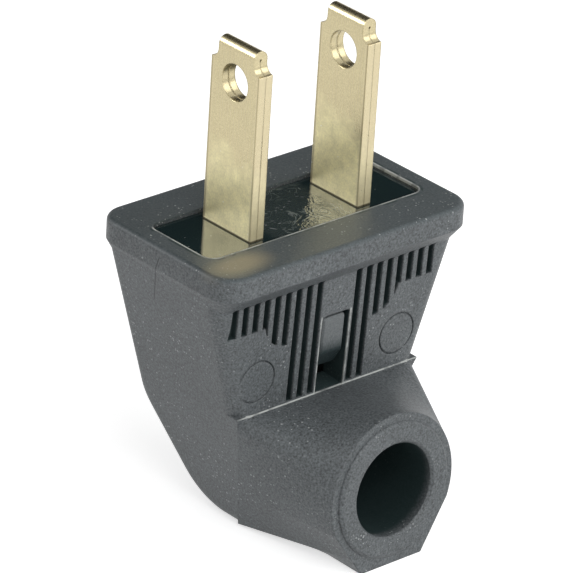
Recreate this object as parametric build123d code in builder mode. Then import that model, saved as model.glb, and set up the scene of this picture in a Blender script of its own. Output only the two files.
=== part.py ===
import os
from math import atan2, cos, pi, radians, sin

from build123d import *

os.makedirs("parts", exist_ok=True)

# A rubber angle plug with two flat folded blades. Sizes are in millimetres.
# The origin is the middle of the core's face, +Z runs along the blades,
# X runs from blade to blade and the cord leaves towards -Y.

# Contact blades, each a strip folded double over its tip
blade_spacing = 12.7
blade_width = 6.35
strip_thickness = 0.73
fold_gap = 0.06
fold_eye = 0.22
blade_reach = 17.9
shoulder_height = 15.8
shoulder_cut = 0.95
shoulder_radius = 0.9
tip_width = 4.7
hole_diameter = 3.44
hole_height = 14.27
terminal_width = 7.4
terminal_depth = 12.6
terminal_corner = 0.8

# Terminal screws, axis across the blades
screw_diameter = 3.5
screw_length = 4.6
screw_point = 0.4
screw_margin = 5.0
screw_head_diameter = 5.8
screw_head_height = 1.7
screw_head_bevel = 0.4
screw_slot_width = 0.9
screw_slot_depth = 0.8

# Insulating core that carries the blades
core_end_margin = 5.33
core_side_margin = 0.955
core_corner = 1.0
plate_thickness = 3.0
web_depth = 14.0
tongue_width = 2.65
tongue_top = 7.5
tongue_height = 5.3
tongue_recess = 0.15
tongue_toe = 1.0
tongue_toe_height = 1.8
tongue_corner = 0.4
tongue_bevel = 0.2

# Clearances
slot_clearance = 0.05
thread_clearance = 0.04
web_hole_clearance = 0.12
core_clearance = 0.15
seat_clearance = 0.02
tongue_clearance = 0.35

# Rubber cover: bands of rubber round the core at the rim, then the walls below it
rim_height = 0.35
rim_end_band = 2.15
rim_side_band = 4.67
rim_corner = 2.6
rim_edge = 1.8
rim_underside = 3.5
rim_round = 0.5
rim_run_in = 0.4
rim_end_step = 0.08
end_taper = 0.3
end_wall = 2.2
front_band = 3.4
front_slope = 0.05
back_band = 3.3
wall_corner = 1.2
front_corner = 1.7

# Heel of the cover, a slope between the back wall and the flat foot
foot_depth = 28.0
heel_bend_depth = 18.06
heel_bend_radius = 5.5
heel_foot_y = 1.93
heel_foot_radius = 6.1
heel_wall = 2.2

# Spout, which runs from the front wall to the round cord outlet
shelf_depth = 14.85
spout_root_y = -3.5
spout_root_corner = 1.2
spout_root_fold = 1.5
spout_reach = 9.47
spout_radius = 7.2
spout_crown = 0.3
spout_tangent = -22
spout_toe = 3.55
spout_toe_drop = 7.3
toe_bend_width = 0.12
toe_bend_height = 0.08
toe_bevel_width = 0.22
toe_bevel_height = 0.27
outlet_depth = 21.0
outlet_lean = 3.8
outlet_face_radius = 6.45
outlet_face_step = 0.4
outlet_face_bevel = 0.25
bore_radius = 4.43
bore_bevel = 0.25
bore_overrun = 2.3

# Latch window and grip ribs of the front wall
window_drop = 2.05
window_corner = 0.5
grip_first = 2.3
grip_pitch = 1.238
grip_width = 0.72
grip_depth = 0.8
grip_top = 3.2
grip_stop = 0.15
grip_centre = -0.57
grip_right_count = 8
grip_left_count = 9
grip_long_reach = 4.95
grip_short_depth = 6.3
grip_turn_reach = 7.9
grip_turn_radius = 3.0

# Ejector marks beside the window
mark_offset = 8.3
mark_depth = 11.5
mark_radius = 2.1
mark_line = 0.16

# Places that follow from the sizes above
blade_thickness = 2 * strip_thickness + fold_gap
blade_x = blade_spacing / 2
blade_inner_x = blade_x - blade_thickness / 2
blade_outer_x = blade_x + blade_thickness / 2
screw_depth = terminal_depth - screw_margin
core_length = 2 * (blade_outer_x + core_end_margin)
core_width = blade_width + 2 * core_side_margin
pocket_length = core_length + 2 * core_clearance
pocket_width = core_width + 2 * core_clearance
pocket_depth = plate_thickness + seat_clearance
rim_length = pocket_length + 2 * rim_end_band
rim_width = pocket_width + 2 * rim_side_band
end_half_length = rim_length / 2 + end_taper * rim_edge - rim_end_step
front_wall = pocket_width / 2 + front_band
back_wall = pocket_width / 2 + back_band


def front_y(depth):
    """Place of the front wall's face at a depth below the core's face."""
    return -(front_wall - front_slope * depth)


def end_x(depth):
    """Half length of the cover between its end faces at a depth."""
    return end_half_length - end_taper * depth


# Blade: the folded strip seen on edge, then trimmed to its outline seen face on
def make_blade(side, name):
    with BuildPart() as blade:
        with BuildSketch(Plane.XZ):
            with BuildLine():
                right = blade_thickness / 2
                gap = fold_gap / 2
                top = blade_reach - right
                eye = top - fold_eye
                Polyline((right, top), (right, -terminal_depth), (gap, -terminal_depth), (gap, eye))
                ThreePointArc((gap, eye), (0, top), (-gap, eye))
                Polyline((-gap, eye), (-gap, -terminal_depth), (-right, -terminal_depth), (-right, top))
                ThreePointArc((-right, top), (0, blade_reach), (right, top))
            make_face()
        extrude(amount=terminal_width / 2, both=True)
        with BuildSketch(Plane.YZ):
            with BuildLine():
                half = blade_width / 2
                tip = tip_width / 2
                neck = shoulder_height + shoulder_cut
                wide = terminal_width / 2
                Polyline((0, blade_reach), (tip, blade_reach), (tip, neck))
                RadiusArc((tip, neck), (half, shoulder_height), -shoulder_radius)
                Polyline(
                    (half, shoulder_height),
                    (half, -plate_thickness),
                    (wide, -plate_thickness - seat_clearance),
                    (wide, -terminal_depth + terminal_corner),
                    (wide - terminal_corner, -terminal_depth),
                    (0, -terminal_depth),
                )
                mirror(about=Plane.YZ)
            make_face()
        extrude(amount=blade_thickness, both=True, mode=Mode.INTERSECT)
        with BuildSketch(Plane.YZ):
            with Locations((0, hole_height)):
                Circle(hole_diameter / 2)
            with Locations((0, -screw_depth)):
                Circle(screw_diameter / 2 + thread_clearance)
        extrude(amount=blade_thickness, both=True, mode=Mode.SUBTRACT)
    part = blade.part.moved(Location((side * blade_x, 0, 0)))
    part.label = name
    export_step(part, "parts/" + name + ".step")


# Terminal screw: shank through the blade into the web, head outside the blade
def make_screw(side, name):
    with BuildPart() as screw:
        with BuildSketch(Plane.YZ):
            Circle(screw_diameter / 2)
        extrude(amount=-screw_length)
        chamfer(screw.edges().sort_by(Axis.X)[0], screw_point)
        with BuildSketch(Plane.YZ):
            Circle(screw_head_diameter / 2)
        extrude(amount=screw_head_height)
        chamfer(screw.edges().sort_by(Axis.X)[-1], screw_head_bevel)
        with BuildSketch(Plane.YZ.offset(screw_head_height)):
            Rectangle(screw_head_diameter, screw_slot_width)
        extrude(amount=-screw_slot_depth, mode=Mode.SUBTRACT)
    turn = 0 if side > 0 else 180
    place = Location((side * (blade_outer_x + seat_clearance), 0, -screw_depth), (0, 0, turn))
    part = screw.part.moved(place)
    part.label = name
    export_step(part, "parts/" + name + ".step")


make_blade(-1, "blade_left")
make_blade(1, "blade_right")
make_screw(-1, "terminal_screw_left")
make_screw(1, "terminal_screw_right")

# Latch tongue: a lug with a slanted toe, rounded at its top corners and bevelled in front
with BuildPart() as tongue:
    with BuildSketch(Plane.YZ):
        tongue_root = -core_width / 2 + tongue_toe
        tongue_low = tongue_top + tongue_height
        toe_start = tongue_low - tongue_toe_height
        Polygon(
            (tongue_root, -tongue_top),
            (front_y(tongue_top) + tongue_recess, -tongue_top),
            (front_y(toe_start) + tongue_recess, -toe_start),
            (front_y(tongue_low) + tongue_recess + tongue_toe, -tongue_low),
            (tongue_root, -tongue_low),
            align=None,
        )
    extrude(amount=tongue_width / 2, both=True)
    fillet(tongue.edges().filter_by(Axis.Y).group_by(Axis.Z)[-1], tongue_corner)
    chamfer(tongue.faces().sort_by(Axis.Y)[0].edges(), tongue_bevel)

# Core: face plate, the web between the blades, the tongue, then slots and screw holes
with BuildPart() as core:
    with BuildSketch(Plane.XY):
        RectangleRounded(core_length, core_width, core_corner)
    extrude(amount=-plate_thickness)
    with BuildSketch(Plane.XY.offset(-plate_thickness)):
        Rectangle(2 * (blade_inner_x - slot_clearance), core_width)
    extrude(amount=-(web_depth - plate_thickness))
    add(tongue.part)
    with BuildSketch(Plane.XY):
        with Locations((-blade_x, 0), (blade_x, 0)):
            Rectangle(blade_thickness + 2 * slot_clearance, blade_width + 2 * slot_clearance)
    extrude(amount=-plate_thickness, mode=Mode.SUBTRACT)
    with BuildSketch(Plane.YZ):
        with Locations((0, -screw_depth)):
            Circle(screw_diameter / 2 + web_hole_clearance)
    extrude(amount=blade_x, both=True, mode=Mode.SUBTRACT)

core.part.label = "core"
export_step(core.part, "parts/core.step")

# Side view of the back wall, the heel's slope and the foot, open-ended in front
with BuildSketch() as heel_outline:
    Polygon(
        (-rim_width / 2, rim_height),
        (back_wall, rim_height),
        (back_wall, -heel_bend_depth),
        (heel_foot_y, -foot_depth),
        (-rim_width / 2, -foot_depth),
        align=None,
    )
    fillet(heel_outline.vertices().group_by(Axis.X)[-1].sort_by(Axis.Y)[0], heel_bend_radius)
    fillet(heel_outline.vertices().group_by(Axis.Y)[0].sort_by(Axis.X)[-1], heel_foot_radius)

# Body of the cover: the side view with its front, cut across by the tapering end faces
with BuildPart() as body:
    with BuildSketch(Plane.YZ):
        add(heel_outline.sketch)
        Polygon(
            (rim_width, -rim_edge),
            (front_y(rim_edge), -rim_edge),
            (front_y(shelf_depth), -shelf_depth),
            (spout_root_y, -foot_depth),
            (rim_width, -foot_depth),
            align=None,
            mode=Mode.INTERSECT,
        )
    extrude(amount=end_half_length, both=True)
    with BuildSketch(Plane.XZ):
        Polygon(
            (-end_x(rim_edge), -rim_edge),
            (end_x(rim_edge), -rim_edge),
            (end_x(foot_depth), -foot_depth),
            (-end_x(foot_depth), -foot_depth),
            align=None,
        )
    extrude(amount=rim_width, both=True, mode=Mode.INTERSECT)
    end_faces = body.faces().sort_by(Axis.X)
    end_edges = end_faces[0].edges() + end_faces[-1].edges()
    back_edges = end_edges.filter_by(Axis.Y, reverse=True).filter_by(lambda e: e.center().Y > 0)
    fillet(back_edges + end_edges.group_by(Axis.Z)[0], wall_corner)

# Front corners above the shelf: the sharp block less its rounded copy is cut away
with BuildPart() as corner_block:
    with BuildSketch(Plane.YZ):
        Polygon(
            (front_y(rim_edge), -rim_edge),
            (0, -rim_edge),
            (0, -shelf_depth),
            (front_y(shelf_depth), -shelf_depth),
            align=None,
        )
    extrude(amount=end_half_length, both=True)
    with BuildSketch(Plane.XZ):
        Polygon(
            (-end_x(rim_edge), -rim_edge),
            (end_x(rim_edge), -rim_edge),
            (end_x(shelf_depth), -shelf_depth),
            (-end_x(shelf_depth), -shelf_depth),
            align=None,
        )
    extrude(amount=rim_width, both=True, mode=Mode.INTERSECT)
block_ends = corner_block.faces().sort_by(Axis.X)
block_edges = (block_ends[0].edges() + block_ends[-1].edges()).filter_by(Axis.Y, reverse=True)
front_edges = block_edges.sort_by(Axis.Y)[:2]
corner_waste = corner_block.part - corner_block.part.fillet(front_corner, front_edges)

# Spout: square at its root, round on top and half a hexagon below at the outlet
root_run = spout_root_y - front_y(shelf_depth)
root_lean = atan2(root_run, foot_depth - shelf_depth)
root_length = (foot_depth - shelf_depth) / cos(root_lean)
root_plane = Plane(
    origin=(0, front_y(shelf_depth), -shelf_depth),
    x_dir=(1, 0, 0),
    z_dir=(0, -cos(root_lean), -sin(root_lean)),
)
lean = radians(outlet_lean)
outlet_y = front_y(shelf_depth) - spout_reach
outlet_plane = Plane(
    origin=(0, outlet_y, -outlet_depth),
    x_dir=(1, 0, 0),
    z_dir=(0, -cos(lean), sin(lean)),
)
tangent_angle = radians(spout_tangent)
middle_angle = (pi / 2 + tangent_angle) / 2
arc_middle = (spout_radius * cos(middle_angle), spout_radius * sin(middle_angle))
arc_end = (spout_radius * cos(tangent_angle), spout_radius * sin(tangent_angle))
with BuildPart() as spout:
    with BuildSketch(root_plane):
        with BuildLine():
            Polyline(
                (0, 0),
                (end_x(shelf_depth), 0),
                (end_x(shelf_depth + spout_root_fold * cos(root_lean)), -spout_root_fold),
                (end_x(foot_depth), -root_length),
                (0, -root_length),
            )
            mirror(about=Plane.YZ)
        root_corners = make_face().vertices().sort_by(Axis.X)
        fillet(root_corners.group_by(Axis.Y)[-1].filter_by(lambda v: v.X != 0), spout_root_corner)
        fillet(root_corners.group_by(Axis.Y)[0].filter_by(lambda v: v.X != 0), wall_corner)
    with BuildSketch(outlet_plane.offset(-outlet_face_step)):
        with BuildLine():
            Line((0, spout_radius), (spout_crown, spout_radius))
            ThreePointArc((spout_crown, spout_radius), arc_middle, arc_end)
            Polyline(
                arc_end,
                (spout_toe + toe_bevel_width, toe_bevel_height - spout_toe_drop),
                (spout_toe + toe_bend_width, toe_bend_height - spout_toe_drop),
                (spout_toe, -spout_toe_drop),
                (0, -spout_toe_drop),
            )
            mirror(about=Plane.YZ)
        make_face()
    loft(ruled=True)

# Rim: a rounded flange that stands proud of the walls under it
wall_middle = (back_wall + front_y(rim_underside)) / 2
wall_width = back_wall - front_y(rim_underside)
with BuildPart() as rim:
    with BuildSketch(Plane.XY.offset(-rim_edge)):
        RectangleRounded(rim_length, rim_width, rim_corner)
    extrude(amount=rim_edge + rim_height)
    with BuildSketch(Plane.XY.offset(-rim_edge)):
        RectangleRounded(rim_length, rim_width, rim_corner)
    with BuildSketch(Plane.XY.offset(-rim_underside - rim_run_in)):
        with Locations((0, wall_middle)):
            RectangleRounded(
                2 * (end_x(rim_underside) - rim_run_in),
                wall_width - 2 * rim_run_in,
                wall_corner,
            )
    loft(ruled=True)
    fillet(rim.faces().sort_by(Axis.Z)[-1].edges(), rim_round)

# Grip ribs: a row of slots inside an area that sinks in a round step towards the middle
front_plane = Plane(
    origin=(0, front_y(0), 0),
    x_dir=(1, 0, 0),
    z_dir=(0, -1, -front_slope),
)
slot_low = shelf_depth - grip_stop
slot_height = slot_low - grip_top
slot_middle = -(slot_low + grip_top) / 2
field_reach = rim_length / 2
turn_run = grip_turn_reach - grip_long_reach
turn_drop = (grip_turn_radius**2 - turn_run**2) ** 0.5
turn_end = -grip_short_depth - grip_turn_radius + turn_drop
with BuildSketch() as grip_field:
    with BuildLine():
        Polyline(
            (0, -grip_top),
            (field_reach, -grip_top),
            (field_reach, -grip_short_depth),
            (grip_turn_reach, -grip_short_depth),
        )
        RadiusArc((grip_turn_reach, -grip_short_depth), (grip_long_reach, turn_end), grip_turn_radius)
        Polyline((grip_long_reach, turn_end), (grip_long_reach, -slot_low), (0, -slot_low))
        mirror(about=Plane.YZ)
    make_face()
with BuildSketch(front_plane) as grip_slots:
    for i in range(grip_right_count):
        with Locations((grip_first + i * grip_pitch, slot_middle)):
            Rectangle(grip_width, slot_height)
    for i in range(grip_left_count):
        with Locations((-grip_first - i * grip_pitch, slot_middle)):
            Rectangle(grip_width, slot_height)
    with Locations((grip_centre, 0)):
        add(grip_field.sketch, mode=Mode.INTERSECT)

# Wiring space: as wide as the pocket, a wall's distance inside the heel and the end faces
cavity_top = rim_height - pocket_depth
with BuildPart() as cavity:
    with BuildSketch(Plane.YZ):
        add(heel_outline.sketch)
        offset(amount=-heel_wall)
        with Locations((0, (cavity_top - foot_depth) / 2)):
            Rectangle(pocket_width, cavity_top + foot_depth, mode=Mode.INTERSECT)
    extrude(amount=rim_length, both=True)
    with BuildSketch(Plane.XZ):
        Polygon(
            (-end_x(0) + end_wall, 0),
            (end_x(0) - end_wall, 0),
            (end_x(foot_depth) - end_wall, -foot_depth),
            (-end_x(foot_depth) + end_wall, -foot_depth),
            align=None,
        )
    extrude(amount=rim_width, both=True, mode=Mode.INTERSECT)

# Cover: body, rim and spout, then the pocket, wiring space, bore, window and grips
window_height = tongue_height + tongue_clearance + window_drop
window_middle = -(tongue_top - tongue_clearance) - window_height / 2
bore_length = (-pocket_width / 2 + bore_overrun - outlet_y) / cos(lean)
with BuildPart() as rubber_cover:
    add(body.part)
    add(spout.part)
    add(corner_waste, mode=Mode.SUBTRACT)
    add(rim.part)
    with BuildSketch(outlet_plane.offset(-outlet_face_step)):
        Circle(outlet_face_radius)
    extrude(amount=outlet_face_step)
    chamfer(rubber_cover.faces().sort_by(Axis.Y)[0].edges(), outlet_face_bevel)
    with BuildSketch(Plane.XY.offset(rim_height)):
        RectangleRounded(pocket_length, pocket_width, core_corner + core_clearance)
    extrude(amount=-rim_height - pocket_depth, mode=Mode.SUBTRACT)
    add(cavity.part, mode=Mode.SUBTRACT)
    with BuildSketch(outlet_plane):
        Circle(bore_radius)
    extrude(amount=-bore_length, mode=Mode.SUBTRACT)
    chamfer(rubber_cover.faces().sort_by(Axis.Y)[0].inner_wires().edges(), bore_bevel)
    with BuildSketch(front_plane):
        with Locations((0, window_middle)):
            window = Rectangle(tongue_width + 2 * tongue_clearance, window_height)
        fillet(window.vertices().group_by(Axis.Y)[-1], window_corner)
    extrude(amount=-(front_band + tongue_clearance), mode=Mode.SUBTRACT)
    extrude(grip_slots.sketch, amount=grip_depth, both=True, mode=Mode.SUBTRACT)
    with BuildSketch(front_plane):
        with Locations((grip_centre - mark_offset, -mark_depth), (grip_centre + mark_offset, -mark_depth)):
            Circle(mark_radius)
            Circle(mark_radius - mark_line, mode=Mode.SUBTRACT)
    extrude(amount=-mark_line, mode=Mode.SUBTRACT)

rubber_cover.part.label = "rubber_cover"
export_step(rubber_cover.part, "parts/rubber_cover.step")
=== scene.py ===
import math

import bpy
from mathutils import Matrix, Vector


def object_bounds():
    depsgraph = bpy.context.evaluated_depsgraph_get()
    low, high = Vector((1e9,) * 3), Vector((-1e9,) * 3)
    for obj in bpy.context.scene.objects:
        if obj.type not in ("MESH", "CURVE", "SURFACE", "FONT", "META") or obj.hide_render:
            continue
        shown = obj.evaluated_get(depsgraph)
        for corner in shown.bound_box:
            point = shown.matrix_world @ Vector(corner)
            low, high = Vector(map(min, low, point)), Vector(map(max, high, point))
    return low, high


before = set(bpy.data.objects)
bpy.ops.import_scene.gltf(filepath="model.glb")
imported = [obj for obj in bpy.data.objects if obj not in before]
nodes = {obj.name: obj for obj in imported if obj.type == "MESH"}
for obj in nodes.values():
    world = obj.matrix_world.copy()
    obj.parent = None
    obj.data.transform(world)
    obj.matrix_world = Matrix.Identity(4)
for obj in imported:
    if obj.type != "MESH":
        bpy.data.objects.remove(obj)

millimetre = 0.001
pureWhite = (1.0, 1.0, 1.0)


def boundsAsLists():
    low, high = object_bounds()
    return [[float(v) for v in low], [float(v) for v in high]]


cadBounds = boundsAsLists()
floorHeight = cadBounds[0][2]

# Places of the plug that the finishes follow, in metres
plug = {
    "pocketHalfLength": 12.59 * millimetre,
    "pocketHalfWidth": 4.28 * millimetre,
    "pocketCorner": 1.15 * millimetre,
    "frontWall": 7.68 * millimetre,
    "frontSlope": 0.05,
    "shelf": -14.85 * millimetre,
    "windowHalf": 1.68 * millimetre,
    "windowTop": -7.15 * millimetre,
    "slotFirst": 2.3 * millimetre,
    "slotPitch": 1.238 * millimetre,
    "slotHalfShare": 0.33,
    "slotLow": -14.92 * millimetre,
    "slotLongReach": 7.5 * millimetre,
    "slotShortLow": -6.4 * millimetre,
    "slotHigh": -3.1 * millimetre,
    "slotReach": 12.8 * millimetre,
    "boreY": -16.4 * millimetre,
    "boreZ": -21.0 * millimetre,
    "boreLean": math.radians(3.8),
    "boreRadius": 4.43 * millimetre,
    "boreDepth": 14.6 * millimetre,
    "tongueFace": -5.9 * millimetre,
    "tongueLow": -12.8 * millimetre,
}


# Small helpers for node trees
def link(tree, source, target):
    tree.links.new(source, target)


def mathNode(tree, operation, first, second=None, clamp=False):
    node = tree.nodes.new("ShaderNodeMath")
    node.operation = operation
    node.use_clamp = clamp
    for socket, value in zip(node.inputs, (first, second)):
        if isinstance(value, (int, float)):
            socket.default_value = value
        elif value is not None:
            link(tree, value, socket)
    return node.outputs[0]


def plus(tree, first, second):
    return mathNode(tree, "ADD", first, second)


def minus(tree, first, second):
    return mathNode(tree, "SUBTRACT", first, second)


def times(tree, *factors):
    result = factors[0]
    for factor in factors[1:]:
        result = mathNode(tree, "MULTIPLY", result, factor)
    return result


def divided(tree, first, second):
    return mathNode(tree, "DIVIDE", first, second)


def larger(tree, first, second):
    return mathNode(tree, "MAXIMUM", first, second)


def withoutSign(tree, value):
    return mathNode(tree, "ABSOLUTE", value)


def isAbove(tree, value, limit):
    return mathNode(tree, "GREATER_THAN", value, limit)


def isBelow(tree, value, limit):
    return mathNode(tree, "LESS_THAN", value, limit)


def ramp(tree, value, low, high, bottom=0.0, top=1.0):
    node = tree.nodes.new("ShaderNodeMapRange")
    node.interpolation_type = "SMOOTHSTEP"
    node.inputs["From Min"].default_value = low
    node.inputs["From Max"].default_value = high
    node.inputs["To Min"].default_value = bottom
    node.inputs["To Max"].default_value = top
    link(tree, value, node.inputs["Value"])
    return node.outputs["Result"]


def blend(tree, mask, fromValue, toValue):
    return ramp(tree, mask, 0.0, 1.0, fromValue, toValue)


def band(tree, value, low, high, soft):
    rise = ramp(tree, value, low - soft, low)
    fall = ramp(tree, value, high + soft, high)
    return times(tree, rise, fall)


def mixColour(tree, factor, first, second):
    node = tree.nodes.new("ShaderNodeMix")
    node.data_type = "RGBA"
    for index, value in ((0, factor), (6, first), (7, second)):
        socket = node.inputs[index]
        if isinstance(value, tuple):
            socket.default_value = (*value, 1.0)
        else:
            link(tree, value, socket)
    return node.outputs[2]


def scaleColour(tree, colour, tone):
    node = tree.nodes.new("ShaderNodeVectorMath")
    node.operation = "SCALE"
    if isinstance(colour, tuple):
        node.inputs[0].default_value = colour
    else:
        link(tree, colour, node.inputs[0])
    link(tree, tone, node.inputs["Scale"])
    return node.outputs["Vector"]


def noise(tree, coordinates, scale, detail, roughness=0.5, distortion=0.0):
    node = tree.nodes.new("ShaderNodeTexNoise")
    node.inputs["Scale"].default_value = scale
    node.inputs["Detail"].default_value = detail
    node.inputs["Roughness"].default_value = roughness
    node.inputs["Distortion"].default_value = distortion
    link(tree, coordinates, node.inputs["Vector"])
    return node.outputs["Fac"]


def stretched(tree, coordinates, scale):
    node = tree.nodes.new("ShaderNodeMapping")
    node.inputs["Scale"].default_value = scale
    link(tree, coordinates, node.inputs["Vector"])
    return node.outputs["Vector"]


def objectCoordinates(tree):
    return tree.nodes.new("ShaderNodeTexCoord").outputs["Object"]


def axes(tree, coordinates):
    node = tree.nodes.new("ShaderNodeSeparateXYZ")
    link(tree, coordinates, node.inputs[0])
    return node.outputs["X"], node.outputs["Y"], node.outputs["Z"]


def length(tree, first, second):
    squares = [times(tree, value, value) for value in (first, second)]
    return mathNode(tree, "SQRT", plus(tree, *squares))


# Distance outside a rounded rectangle, as seen from above
def outsideRectangle(tree, x, y, halfLength, halfWidth, corner):
    sides = []
    for value, half in ((x, halfLength), (y, halfWidth)):
        over = minus(tree, withoutSign(tree, value), half - corner)
        sides.append(larger(tree, over, 0.0))
    return minus(tree, length(tree, *sides), corner)


def softEdges(tree, radius):
    node = tree.nodes.new("ShaderNodeBevel")
    node.samples = 6
    node.inputs["Radius"].default_value = radius
    return node.outputs["Normal"]


def bump(tree, height, depth, normal):
    node = tree.nodes.new("ShaderNodeBump")
    node.inputs["Strength"].default_value = 1.0
    node.inputs["Distance"].default_value = depth
    link(tree, height, node.inputs["Height"])
    link(tree, normal, node.inputs["Normal"])
    return node.outputs["Normal"]


def newGroup(name, inputs, outputs):
    group = bpy.data.node_groups.new(name, "ShaderNodeTree")
    for label, kind, value in inputs:
        socket = group.interface.new_socket(name=label, in_out="INPUT", socket_type=kind)
        if value is not None:
            socket.default_value = value
    for label, kind in outputs:
        group.interface.new_socket(name=label, in_out="OUTPUT", socket_type=kind)
    start = group.nodes.new("NodeGroupInput")
    end = group.nodes.new("NodeGroupOutput")
    return group, start, end


def placeGroup(tree, group, place, values):
    node = tree.nodes.new("ShaderNodeGroup")
    node.node_tree = group
    link(tree, place, node.inputs["Vector"])
    for label, value in values.items():
        node.inputs[label].default_value = value
    return node


# Dots scattered at random: light dust on rubber, pits in metal
dotSharpness = 24.0


def makeSpecksGroup():
    group, start, end = newGroup(
        "scatteredSpecks",
        [
            ("Vector", "NodeSocketVector", None),
            ("Scale", "NodeSocketFloat", 3000.0),
            ("Radius", "NodeSocketFloat", 0.3),
            ("Share", "NodeSocketFloat", 0.1),
        ],
        [("Mask", "NodeSocketFloat")],
    )
    cells = group.nodes.new("ShaderNodeTexVoronoi")
    link(group, start.outputs["Vector"], cells.inputs["Vector"])
    link(group, start.outputs["Scale"], cells.inputs["Scale"])
    picked = group.nodes.new("ShaderNodeSeparateColor")
    link(group, cells.outputs["Color"], picked.inputs[0])
    chosen = isBelow(group, picked.outputs[0], start.outputs["Share"])
    size = times(group, picked.outputs[1], start.outputs["Radius"])
    nearness = minus(group, size, cells.outputs["Distance"])
    dot = mathNode(group, "MULTIPLY", nearness, dotSharpness, clamp=True)
    link(group, times(group, chosen, dot), end.inputs["Mask"])
    return group


# Uneven tone: broad patches and a fine grain, centred on 1
unevenness = {
    "patchScale": 180,
    "patchDetail": 3,
    "grainScale": 5200,
    "grainDetail": 2,
    "grainRoughness": 0.6,
    "noiseMiddle": 0.5,
}


def makeMottleGroup():
    group, start, end = newGroup(
        "unevenTone",
        [
            ("Vector", "NodeSocketVector", None),
            ("Patch", "NodeSocketFloat", 0.1),
            ("Grain", "NodeSocketFloat", 0.1),
        ],
        [("Tone", "NodeSocketFloat"), ("Fine", "NodeSocketFloat")],
    )
    place = start.outputs["Vector"]
    broad = noise(group, place, unevenness["patchScale"], unevenness["patchDetail"])
    broad = minus(group, broad, unevenness["noiseMiddle"])
    fine = noise(
        group, place, unevenness["grainScale"], unevenness["grainDetail"], unevenness["grainRoughness"]
    )
    fine = minus(group, fine, unevenness["noiseMiddle"])
    patches = times(group, broad, start.outputs["Patch"])
    grains = times(group, fine, start.outputs["Grain"])
    link(group, plus(group, plus(group, patches, grains), 1.0), end.inputs["Tone"])
    link(group, fine, end.inputs["Fine"])
    return group


specksGroup = makeSpecksGroup()
mottleGroup = makeMottleGroup()


def newMaterial(name, settings):
    material = bpy.data.materials.new(name)
    material.use_nodes = True
    tree = material.node_tree
    shader = tree.nodes["Principled BSDF"]
    for label in ("Roughness", "Metallic", "IOR", "Specular IOR Level"):
        if label in settings:
            shader.inputs[label].default_value = settings[label]
    return material, tree, shader


# Rubber cover: dull dark grey and dusty, with painted shade in recesses, on top and round the core, and
# painted edge highlights
rubber = {
    "colour": (0.095, 0.105, 0.110),
    "unevenness": {"Patch": 0.45, "Grain": 2.5},
    "paintedTopShadeColour": (0.045, 0.061, 0.066),
    "paintedTopShadeCover": 0.6,
    "topStart": -0.1 * millimetre,
    "topFull": 0.25 * millimetre,
    "Roughness": 0.48,
    "Specular IOR Level": 0.4,
    "edgeRadius": 0.2 * millimetre,
    "grainDepth": 0.014 * millimetre,
}

# Dust in three sizes, thicker in drifts
dust = {
    "colour": (0.52, 0.54, 0.54),
    "cover": 0.55,
    "sizes": (
        {"Scale": 800, "Radius": 0.11, "Share": 0.35},
        {"Scale": 1700, "Radius": 0.19, "Share": 0.40},
        {"Scale": 3200, "Radius": 0.34, "Share": 0.45},
    ),
    "driftScale": 150,
    "driftDetail": 3,
    "driftStart": 0.42,
    "driftFull": 0.62,
    "thinnest": 0.12,
}

# Painted shade in the recesses: the bore, and the window and slots behind the face of the front wall
paintedRecessShade = {
    "colour": (0.010, 0.024, 0.024),
    "cover": 0.86,
    "boreCover": 0.9,
    "boreNone": 0.2 * millimetre,
    "boreFull": 0.05 * millimetre,
    "boreStart": 1.2 * millimetre,
    "boreFade": 1.15 * millimetre,
    "windowMargin": 0.05 * millimetre,
    "depth": (0.32 * millimetre, 3.5 * millimetre, 0.26 * millimetre),
}

# Painted highlights along edges and painted shade in the gap round the core, each line across itself as
# low side, high side and soft margin
paintedEdgeLightAndShade = {
    "colour": (0.50, 0.52, 0.50),
    "cover": 0.9,
    "nearFace": (-0.08 * millimetre, 0.1 * millimetre, 0.05 * millimetre),
    "shelf": (-0.05 * millimetre, 0.06 * millimetre, 0.06 * millimetre),
    "windowSide": (0.0, 0.1 * millimetre, 0.05 * millimetre),
    "windowEnds": 0.1 * millimetre,
    "highlightLip": (-0.05 * millimetre, 0.13 * millimetre, 0.05 * millimetre),
    "shadeLip": (0.26 * millimetre, 0.40 * millimetre, 0.07 * millimetre),
    "lipLow": 0.1 * millimetre,
    "lipBack": 3.9 * millimetre,
    "lipFull": 3.4 * millimetre,
    "breakScale": 700,
    "breakDetail": 2,
    "breakStart": 0.42,
    "breakFull": 0.56,
    "leastPale": 0.45,
}

# Parting line down the left end face, under the rim
parting = {
    "start": -0.14 * millimetre,
    "high": -0.5 * millimetre,
    "lean": 0.349,
    "width": 0.12 * millimetre,
    "fullShare": 0.3,
    "low": -6.5 * millimetre,
    "fade": 1.5 * millimetre,
    "left": -12.0 * millimetre,
    "shade": 0.35,
}

# Painted reflection of the left blade: a brassy sheen on the rim in front of it
paintedBladeReflection = {
    "colour": (0.34, 0.29, 0.18),
    "x": -11.0 * millimetre,
    "y": -6.3 * millimetre,
    "reachX": 4.6 * millimetre,
    "reachY": 2.4 * millimetre,
    "fullShare": 0.2,
    "low": -0.7 * millimetre,
    "strength": 0.6,
}


def dustMask(tree, place):
    layers = []
    for size in dust["sizes"]:
        specks = placeGroup(tree, specksGroup, place, size)
        layers.append(specks.outputs["Mask"])
    mask = larger(tree, larger(tree, layers[0], layers[1]), layers[2])
    clouds = noise(tree, place, dust["driftScale"], dust["driftDetail"])
    drift = ramp(tree, clouds, dust["driftStart"], dust["driftFull"], dust["thinnest"], 1.0)
    return times(tree, mask, drift)
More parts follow.
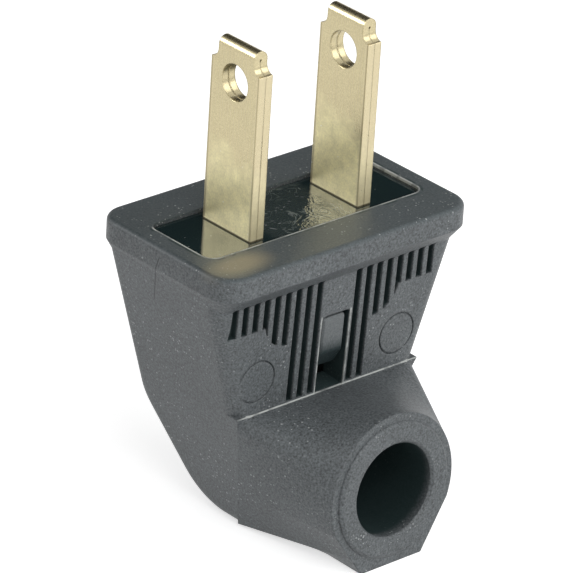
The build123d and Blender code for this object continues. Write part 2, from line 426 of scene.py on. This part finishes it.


# Where the bore's painted shade goes: near the bore's leaning axis, from a little behind its mouth to
# its inner end
def insideBore(tree, x, y, z):
    along = minus(tree, y, plug["boreY"])
    drop = times(tree, along, math.tan(plug["boreLean"]))
    rise = minus(tree, z, minus(tree, plug["boreZ"], drop))
    wide = plug["boreRadius"]
    inside = ramp(tree, length(tree, x, rise), wide + paintedRecessShade["boreNone"], wide + paintedRecessShade["boreFull"])
    deep = band(tree, along, paintedRecessShade["boreStart"], plug["boreDepth"], paintedRecessShade["boreFade"])
    return times(tree, inside, deep)


# Where the painted shade of the window and grip slots goes, behind the face of the front wall
def insideRecess(tree, x, z, behind):
    across = withoutSign(tree, x)
    step = divided(tree, minus(tree, across, plug["slotFirst"]), plug["slotPitch"])
    off = withoutSign(tree, minus(tree, step, mathNode(tree, "ROUND", step)))
    slot = isBelow(tree, off, plug["slotHalfShare"])
    slot = times(tree, slot, isBelow(tree, across, plug["slotReach"]))
    window = isBelow(tree, across, plug["windowHalf"] + paintedRecessShade["windowMargin"])
    short = isAbove(tree, across, plug["slotLongReach"])
    low = blend(tree, short, plug["slotLow"], plug["slotShortLow"])
    overFoot = isAbove(tree, z, low)
    underRim = isBelow(tree, z, plug["slotHigh"])
    sunk = band(tree, behind, *paintedRecessShade["depth"])
    return times(tree, larger(tree, slot, window), overFoot, underRim, sunk)


# Painted highlight lines along the shelf's edge and the sides of the window, on the face of the front
# wall
def frontLines(tree, x, z, behind):
    low, high, soft = paintedEdgeLightAndShade["shelf"]
    shelfEdge = band(tree, z, plug["shelf"] + low, plug["shelf"] + high, soft)
    beside = minus(tree, withoutSign(tree, x), plug["windowHalf"])
    sides = band(tree, beside, *paintedEdgeLightAndShade["windowSide"])
    sides = times(tree, sides, band(tree, z, plug["shelf"], plug["windowTop"], paintedEdgeLightAndShade["windowEnds"]))
    return times(tree, larger(tree, shelfEdge, sides), band(tree, behind, *paintedEdgeLightAndShade["nearFace"]))


# Painted highlight and painted shade lines of the lip round the core, not along its back
def lipLines(tree, x, y, z):
    lip = outsideRectangle(
        tree, x, y, plug["pocketHalfLength"], plug["pocketHalfWidth"], plug["pocketCorner"]
    )
    onTop = isAbove(tree, z, paintedEdgeLightAndShade["lipLow"])
    near = ramp(tree, y, paintedEdgeLightAndShade["lipBack"], paintedEdgeLightAndShade["lipFull"])
    return [times(tree, band(tree, lip, *paintedEdgeLightAndShade[label]), onTop, near) for label in ("highlightLip", "shadeLip")]


# Masks of all the painted highlight lines and all the painted shade lines, broken here and there
def edgeHighlightAndShadeMasks(tree, place, x, y, z, behind):
    highlightLip, shadeLip = lipLines(tree, x, y, z)
    patches = noise(tree, place, paintedEdgeLightAndShade["breakScale"], paintedEdgeLightAndShade["breakDetail"])
    broken = ramp(tree, patches, paintedEdgeLightAndShade["breakStart"], paintedEdgeLightAndShade["breakFull"])
    paintedHighlight = larger(tree, frontLines(tree, x, z, behind), highlightLip)
    paintedHighlight = times(tree, paintedHighlight, blend(tree, broken, paintedEdgeLightAndShade["leastPale"], 1.0))
    return paintedHighlight, times(tree, shadeLip, broken)


# Mask of the painted reflection of the left blade on the rim
def paintedReflectionMask(tree, x, y, z):
    reach = length(
        tree,
        divided(tree, minus(tree, x, paintedBladeReflection["x"]), paintedBladeReflection["reachX"]),
        divided(tree, minus(tree, y, paintedBladeReflection["y"]), paintedBladeReflection["reachY"]),
    )
    spot = ramp(tree, reach, 1.0, paintedBladeReflection["fullShare"])
    return times(tree, spot, ramp(tree, z, paintedBladeReflection["low"], 0.0), paintedBladeReflection["strength"])


def partingMask(tree, x, y, z):
    lineY = plus(tree, times(tree, z, -parting["lean"]), parting["start"])
    offLine = withoutSign(tree, minus(tree, y, lineY))
    onLine = ramp(tree, offLine, parting["width"], parting["fullShare"] * parting["width"])
    span = ramp(tree, z, parting["low"], parting["low"] + parting["fade"])
    leftEnd = isBelow(tree, x, parting["left"])
    return times(tree, onLine, span, leftEnd, isBelow(tree, z, parting["high"]))


def makeRubber():
    material, tree, shader = newMaterial("coverRubber", rubber)
    place = objectCoordinates(tree)
    x, y, z = axes(tree, place)
    mottle = placeGroup(tree, mottleGroup, place, rubber["unevenness"])
    colour = scaleColour(tree, rubber["colour"], mottle.outputs["Tone"])
    # Painted shade: the rim's top is darker and cooler
    top = times(tree, ramp(tree, z, rubber["topStart"], rubber["topFull"]), rubber["paintedTopShadeCover"])
    colour = mixColour(tree, top, colour, rubber["paintedTopShadeColour"])
    # Painted reflection of the left blade on the rim
    colour = mixColour(tree, paintedReflectionMask(tree, x, y, z), colour, paintedBladeReflection["colour"])
    dusty = dustMask(tree, place)
    colour = mixColour(tree, times(tree, dusty, dust["cover"]), colour, dust["colour"])
    wall = times(tree, z, plug["frontSlope"])
    behind = plus(tree, plus(tree, y, plug["frontWall"]), wall)
    # Painted highlights along edges and painted shade in the gap round the core
    paintedHighlight, paintedGapShade = edgeHighlightAndShadeMasks(tree, place, x, y, z, behind)
    colour = mixColour(tree, times(tree, paintedHighlight, paintedEdgeLightAndShade["cover"]), colour, paintedEdgeLightAndShade["colour"])
    # Painted shade in the window, the grip slots and the gap round the core
    recessShade = larger(tree, insideRecess(tree, x, z, behind), paintedGapShade)
    colour = mixColour(tree, times(tree, recessShade, paintedRecessShade["cover"]), colour, paintedRecessShade["colour"])
    # Painted shade inside the bore
    boreShade = times(tree, insideBore(tree, x, y, z), paintedRecessShade["boreCover"])
    colour = mixColour(tree, boreShade, colour, paintedRecessShade["colour"])
    line = partingMask(tree, x, y, z)
    colour = scaleColour(tree, colour, blend(tree, line, 1.0, parting["shade"]))
    link(tree, colour, shader.inputs["Base Color"])
    height = minus(tree, plus(tree, mottle.outputs["Fine"], dusty), line)
    soft = softEdges(tree, rubber["edgeRadius"])
    link(tree, bump(tree, height, rubber["grainDepth"], soft), shader.inputs["Normal"])
    return material


# Core: glossy black plastic with painted haze and glints between the blades, dull and greyish on the
# latch tongue, with painted shade towards the tongue's low end
coreFinish = {
    "colour": (0.012, 0.023, 0.025),
    "Roughness": 0.07,
    "IOR": 1.5,
    "edgeRadius": 0.12 * millimetre,
    "tongueColour": (0.12, 0.132, 0.136),
    "tongueUnevenness": {"Patch": 0.3, "Grain": 1.0},
    "tongueRoughness": 0.55,
    "tongueDepth": 0.6 * millimetre,
    "tongueShadeFullTo": 1.6 * millimetre,
    "tongueShadeNoneFrom": 3.4 * millimetre,
    "dustColour": (0.42, 0.43, 0.42),
    "dustCover": 0.5,
    "dustSpecks": {"Scale": 1900, "Radius": 0.14, "Share": 0.35},
    "rippleScale": 160,
    "rippleDetail": 1,
    "rippleDepth": 0.03 * millimetre,
}

# Swirling flow marks on the core's face, between the blades: bumps with painted glints on their crests
# and an even painted sheen
flowMarksAndGlints = {
    "paintedGlintColour": (0.19, 0.215, 0.205),
    "none": 5.2 * millimetre,
    "full": 3.9 * millimetre,
    "low": -0.2 * millimetre,
    "scale": 420,
    "detail": 2,
    "roughness": 0.5,
    "distortion": 1.8,
    "lines": 6.0,
    "turn": 0.5,
    "crestStart": 0.36,
    "patchScale": 260,
    "patchDetail": 2,
    "patchStart": 0.45,
    "patchFull": 0.62,
    "crestGlint": 0.8,
    "evenSheen": 0.12,
}


def makeCore():
    material, tree, shader = newMaterial("coreGloss", coreFinish)
    place = objectCoordinates(tree)
    x, y, z = axes(tree, place)
    tongueLow = plug["tongueLow"]
    onTongue = ramp(tree, y, plug["tongueFace"] + coreFinish["tongueDepth"], plug["tongueFace"])
    # Painted shade: the tongue turns black towards its low end inside the window
    fade = ramp(
        tree, z, tongueLow + coreFinish["tongueShadeFullTo"], tongueLow + coreFinish["tongueShadeNoneFrom"]
    )
    grain = placeGroup(tree, mottleGroup, place, coreFinish["tongueUnevenness"])
    tongue = scaleColour(tree, coreFinish["tongueColour"], grain.outputs["Tone"])
    colour = mixColour(tree, times(tree, onTongue, fade), coreFinish["colour"], tongue)
    middle = ramp(tree, withoutSign(tree, x), flowMarksAndGlints["none"], flowMarksAndGlints["full"])
    onFace = times(tree, middle, isAbove(tree, z, flowMarksAndGlints["low"]))
    waves = noise(tree, place, flowMarksAndGlints["scale"], flowMarksAndGlints["detail"], flowMarksAndGlints["roughness"], flowMarksAndGlints["distortion"])
    swirl = mathNode(tree, "PINGPONG", times(tree, waves, flowMarksAndGlints["lines"]), flowMarksAndGlints["turn"])
    crest = ramp(tree, swirl, flowMarksAndGlints["crestStart"], flowMarksAndGlints["turn"])
    patches = noise(tree, place, flowMarksAndGlints["patchScale"], flowMarksAndGlints["patchDetail"])
    patches = ramp(tree, patches, flowMarksAndGlints["patchStart"], flowMarksAndGlints["patchFull"])
    # Painted glints on the crests of the flow marks, and an even painted sheen
    marks = plus(tree, times(tree, crest, patches, flowMarksAndGlints["crestGlint"]), flowMarksAndGlints["evenSheen"])
    colour = mixColour(tree, times(tree, onFace, marks), colour, flowMarksAndGlints["paintedGlintColour"])
    specks = placeGroup(tree, specksGroup, place, coreFinish["dustSpecks"])
    dusty = times(tree, specks.outputs["Mask"], coreFinish["dustCover"])
    colour = mixColour(tree, dusty, colour, coreFinish["dustColour"])
    link(tree, colour, shader.inputs["Base Color"])
    rough = blend(tree, onTongue, coreFinish["Roughness"], coreFinish["tongueRoughness"])
    link(tree, rough, shader.inputs["Roughness"])
    ripples = noise(tree, place, coreFinish["rippleScale"], coreFinish["rippleDetail"])
    height = plus(tree, times(tree, middle, swirl), ripples)
    soft = softEdges(tree, coreFinish["edgeRadius"])
    link(tree, bump(tree, height, coreFinish["rippleDepth"], soft), shader.inputs["Normal"])
    return material


# Blades: pale drawn brass, dull, blotched and pitted towards the foot, brown along the edges, with a
# painted highlight near the edges, painted glints at the foot and painted shade where they enter the
# core
brass = {
    "colour": (0.625, 0.545, 0.335),
    "unevenness": {"Patch": 0.12, "Grain": 0.45},
    "metal": 0.93,
    "Roughness": 0.27,
    "steadyShine": 0.06,
    "streakStretch": (1.0, 14.0, 1.0),
    "streakScale": 300,
    "streakDetail": 2,
    "streakRoughness": 0.12,
    "edgeRadius": 0.2 * millimetre,
    "edgeHighlightColour": (0.62, 0.54, 0.36),
    "edgeHighlightCover": 0.6,
    "edgeStart": 2.7 * millimetre,
    "edgeFull": 3.1 * millimetre,
    "corner": (2.98 * millimetre, 3.10 * millimetre, 0.04 * millimetre),
    "cornerCover": 0.55,
    "grainHeight": 0.25,
}

# Foot of the blades, and the painted shade where they enter the core
foot = {
    "colour": (0.72, 0.655, 0.38),
    "metal": 0.45,
    "addedRoughness": 0.08,
    "none": 9.0 * millimetre,
    "full": 4.5 * millimetre,
    "cloudScale": 260,
    "cloudDetail": 3,
    "cloudMiddle": 0.5,
    "cloudHeight": 12.0 * millimetre,
    "blotchScale": 900,
    "blotchDetail": 3,
    "blotchRoughness": 0.6,
    "blotchLeast": 0.1,
    "blotchMost": 0.75,
    "blotchBase": 0.8,
    "seatShadeColour": (0.05, 0.04, 0.02),
    "seatShadeCover": 0.85,
    "seatNone": 0.2 * millimetre,
    "seatFull": 0.08 * millimetre,
}

# Pits in the brass, and painted glints
pits = {
    "colour": (0.24, 0.20, 0.10),
    "cover": 0.5,
    "specks": {"Scale": 1700, "Radius": 0.2, "Share": 0.22},
    "atTip": 0.3,
    "depth": 0.02 * millimetre,
    "paintedBrassGlintColour": (0.95, 0.92, 0.80),
    "glintSpecks": {"Scale": 1250, "Radius": 0.14, "Share": 0.14},
}


# 1 at the foot of a blade, with a cloudy upper border
def footMask(tree, place, z):
    cloud = noise(tree, place, foot["cloudScale"], foot["cloudDetail"])
    shift = times(tree, minus(tree, cloud, foot["cloudMiddle"]), foot["cloudHeight"])
    return ramp(tree, plus(tree, z, shift), foot["none"], foot["full"])


def blotchTone(tree, place, low):
    blotch = noise(tree, place, foot["blotchScale"], foot["blotchDetail"], foot["blotchRoughness"])
    strength = blend(tree, low, foot["blotchLeast"], foot["blotchMost"])
    return plus(tree, times(tree, blotch, strength), foot["blotchBase"])


def makeBrass():
    material, tree, shader = newMaterial("bladeBrass", brass)
    place = objectCoordinates(tree)
    x, y, z = axes(tree, place)
    low = footMask(tree, place, z)
    colour = mixColour(tree, low, brass["colour"], foot["colour"])
    colour = scaleColour(tree, colour, blotchTone(tree, place, low))
    mottle = placeGroup(tree, mottleGroup, place, brass["unevenness"])
    colour = scaleColour(tree, colour, mottle.outputs["Tone"])
    outwards = withoutSign(tree, y)
    # Painted highlight near the blade's edges
    edgeHighlight = times(tree, ramp(tree, outwards, brass["edgeStart"], brass["edgeFull"]), brass["edgeHighlightCover"])
    colour = mixColour(tree, edgeHighlight, colour, brass["edgeHighlightColour"])
    corner = times(tree, band(tree, outwards, *brass["corner"]), brass["cornerCover"])
    colour = mixColour(tree, corner, colour, pits["colour"])
    holes = placeGroup(tree, specksGroup, place, pits["specks"])
    pitted = times(tree, holes.outputs["Mask"], blend(tree, low, pits["atTip"], 1.0))
    colour = mixColour(tree, times(tree, pitted, pits["cover"]), colour, pits["colour"])
    # Painted glints at the foot
    glints = placeGroup(tree, specksGroup, place, pits["glintSpecks"])
    colour = mixColour(tree, times(tree, glints.outputs["Mask"], low), colour, pits["paintedBrassGlintColour"])
    # Painted shade where the blade enters the core
    seatShade = times(tree, ramp(tree, z, foot["seatNone"], foot["seatFull"]), foot["seatShadeCover"])
    colour = mixColour(tree, seatShade, colour, foot["seatShadeColour"])
    link(tree, colour, shader.inputs["Base Color"])
    link(tree, blend(tree, low, brass["metal"], foot["metal"]), shader.inputs["Metallic"])
    drawn = stretched(tree, place, brass["streakStretch"])
    streaks = noise(tree, drawn, brass["streakScale"], brass["streakDetail"])
    rough = plus(
        tree, times(tree, streaks, brass["streakRoughness"]), times(tree, low, foot["addedRoughness"])
    )
    rough = plus(tree, rough, brass["Roughness"] - brass["steadyShine"])
    link(tree, rough, shader.inputs["Roughness"])
    height = minus(tree, times(tree, mottle.outputs["Fine"], brass["grainHeight"]), pitted)
    soft = softEdges(tree, brass["edgeRadius"])
    link(tree, bump(tree, height, pits["depth"], soft), shader.inputs["Normal"])
    return material


# Terminal screws: bright plated steel with fine turning marks on the head
steel = {
    "colour": (0.60, 0.60, 0.58),
    "unevenness": {"Patch": 0.2, "Grain": 0.15},
    "Metallic": 1.0,
    "Roughness": 0.28,
    "edgeRadius": 0.12 * millimetre,
    "markStretch": (8.0, 1.0, 1.0),
    "markScale": 900,
    "markDetail": 2,
    "markDepth": 0.006 * millimetre,
}


def makeSteel():
    material, tree, shader = newMaterial("screwSteel", steel)
    place = objectCoordinates(tree)
    mottle = placeGroup(tree, mottleGroup, place, steel["unevenness"])
    colour = scaleColour(tree, steel["colour"], mottle.outputs["Tone"])
    link(tree, colour, shader.inputs["Base Color"])
    turned = stretched(tree, place, steel["markStretch"])
    marks = noise(tree, turned, steel["markScale"], steel["markDetail"])
    soft = softEdges(tree, steel["edgeRadius"])
    link(tree, bump(tree, marks, steel["markDepth"], soft), shader.inputs["Normal"])
    return material


def dress(nodeName, material):
    mesh = nodes[nodeName].data
    mesh.materials.clear()
    mesh.materials.append(material)


dress("rubber_cover", makeRubber())
print("rubber cover dressed")
dress("core", makeCore())
print("core dressed")
brassMaterial = makeBrass()
dress("blade_left", brassMaterial)
dress("blade_right", brassMaterial)
print("blades dressed")
steelMaterial = makeSteel()
dress("terminal_screw_left", steelMaterial)
dress("terminal_screw_right", steelMaterial)
print("screws dressed")


# 1 for what the camera, gloss and glass see, so that it shows white without adding light
def seenDirectly(tree):
    path = tree.nodes.new("ShaderNodeLightPath")
    seen = larger(tree, path.outputs["Is Camera Ray"], path.outputs["Is Glossy Ray"])
    return larger(tree, seen, path.outputs["Is Transmission Ray"])


def addSheet(name, size, place, turn):
    bpy.ops.object.select_all(action="DESELECT")
    bpy.ops.mesh.primitive_plane_add(size=size, location=place, rotation=turn)
    sheet = bpy.context.active_object
    sheet.name = name
    bpy.ops.object.transform_apply(location=True, rotation=True)
    return sheet


# Floor: a plain pale sheet that keeps the plug's shadow
floor = {
    "size": 3.0,
    "colour": (0.86, 0.86, 0.86),
    "whiteness": 0.62,
    "Roughness": 0.9,
    "Specular IOR Level": 0.1,
}


def makeFloor():
    sheet = addSheet("floor", floor["size"], (0, 0, floorHeight), (0, 0, 0))
    material, tree, shader = newMaterial("floorPaper", floor)
    shader.inputs["Base Color"].default_value = (*floor["colour"], 1.0)
    shader.inputs["Emission Color"].default_value = (*pureWhite, 1.0)
    shown = times(tree, seenDirectly(tree), floor["whiteness"])
    link(tree, shown, shader.inputs["Emission Strength"])
    sheet.data.materials.append(material)


makeFloor()
print("floor laid")


# Dark card: high behind the plug, seen only in gloss and metal
card = {
    "size": 0.8,
    "place": (0.27, 0.57, 0.49),
    "colour": (0.02, 0.02, 0.02),
    "Roughness": 1.0,
    "Specular IOR Level": 0.0,
}


def makeCard():
    aim = -Vector(card["place"])
    turn = aim.to_track_quat("Z", "Y").to_euler()
    sheet = addSheet("darkCard", card["size"], card["place"], turn)
    material, tree, shader = newMaterial("cardPaper", card)
    shader.inputs["Base Color"].default_value = (*card["colour"], 1.0)
    sheet.data.materials.append(material)
    sheet.visible_camera = False
    sheet.visible_diffuse = False
    sheet.visible_shadow = False


makeCard()
print("card set")


# Lamps: two broad ones in front, and one behind on the left that only gloss and metal show
lamps = {
    "target": (0.0, -0.002, -0.008),
    "key": {
        "place": (-0.11, -0.44, 0.31),
        "size": 0.40,
        "energy": 1.40,
        "lightsDullSurfaces": True,
    },
    "fill": {
        "place": (0.33, -0.37, 0.34),
        "size": 0.40,
        "energy": 0.93,
        "lightsDullSurfaces": True,
    },
    "back": {
        "place": (-0.385, 0.405, 0.275),
        "size": 0.20,
        "energy": 1.30,
        "lightsDullSurfaces": False,
    },
}


def addLamp(name):
    facts = lamps[name]
    place = Vector(facts["place"])
    aim = Vector(lamps["target"]) - place
    turn = aim.to_track_quat("-Z", "Y").to_euler()
    bpy.ops.object.light_add(type="AREA", location=place, rotation=turn)
    lamp = bpy.context.active_object
    lamp.name = name + "Lamp"
    lamp.data.size = facts["size"]
    lamp.data.energy = facts["energy"]
    lamp.visible_diffuse = facts["lightsDullSurfaces"]


for lampName in ("key", "fill", "back"):
    addLamp(lampName)
print("lamps set")


# World: an even grey room that shows white
room = {"colour": (0.43, 0.43, 0.43)}


def makeRoom():
    world = bpy.data.worlds.new("room")
    bpy.context.scene.world = world
    world.use_nodes = True
    tree = world.node_tree
    shown = mixColour(tree, seenDirectly(tree), room["colour"], pureWhite)
    link(tree, shown, tree.nodes["Background"].inputs["Color"])


makeRoom()
print("room set")


# Camera: at the photograph's viewing angle, rolled a little
camera = {
    "azimuth": math.radians(-42.98),
    "elevation": math.radians(26.31),
    "roll": math.radians(3.67),
    "distance": 470.46 * millimetre,
    "shiftRight": 0.023 * millimetre,
    "shiftUp": 6.733 * millimetre,
    "focalPixels": 5296.05,
    "imagePixels": 573,
    "sensor": 36.0,
    "nearest": 0.01,
    "farthest": 10.0,
}


def placeCamera():
    turn = Matrix.Rotation(camera["azimuth"], 3, "Z")
    turn = turn @ Matrix.Rotation(math.pi / 2 - camera["elevation"], 3, "X")
    turn = turn @ Matrix.Rotation(camera["roll"], 3, "Z")
    offset = Vector((-camera["shiftRight"], -camera["shiftUp"], camera["distance"]))
    bpy.ops.object.camera_add(location=turn @ offset, rotation=turn.to_euler())
    view = bpy.context.active_object
    view.data.sensor_width = camera["sensor"]
    view.data.lens = camera["focalPixels"] * camera["sensor"] / camera["imagePixels"]
    view.data.clip_start = camera["nearest"]
    view.data.clip_end = camera["farthest"]
    bpy.context.scene.camera = view


placeCamera()
bpy.context.scene.view_settings.view_transform = "Standard"
print("camera placed")
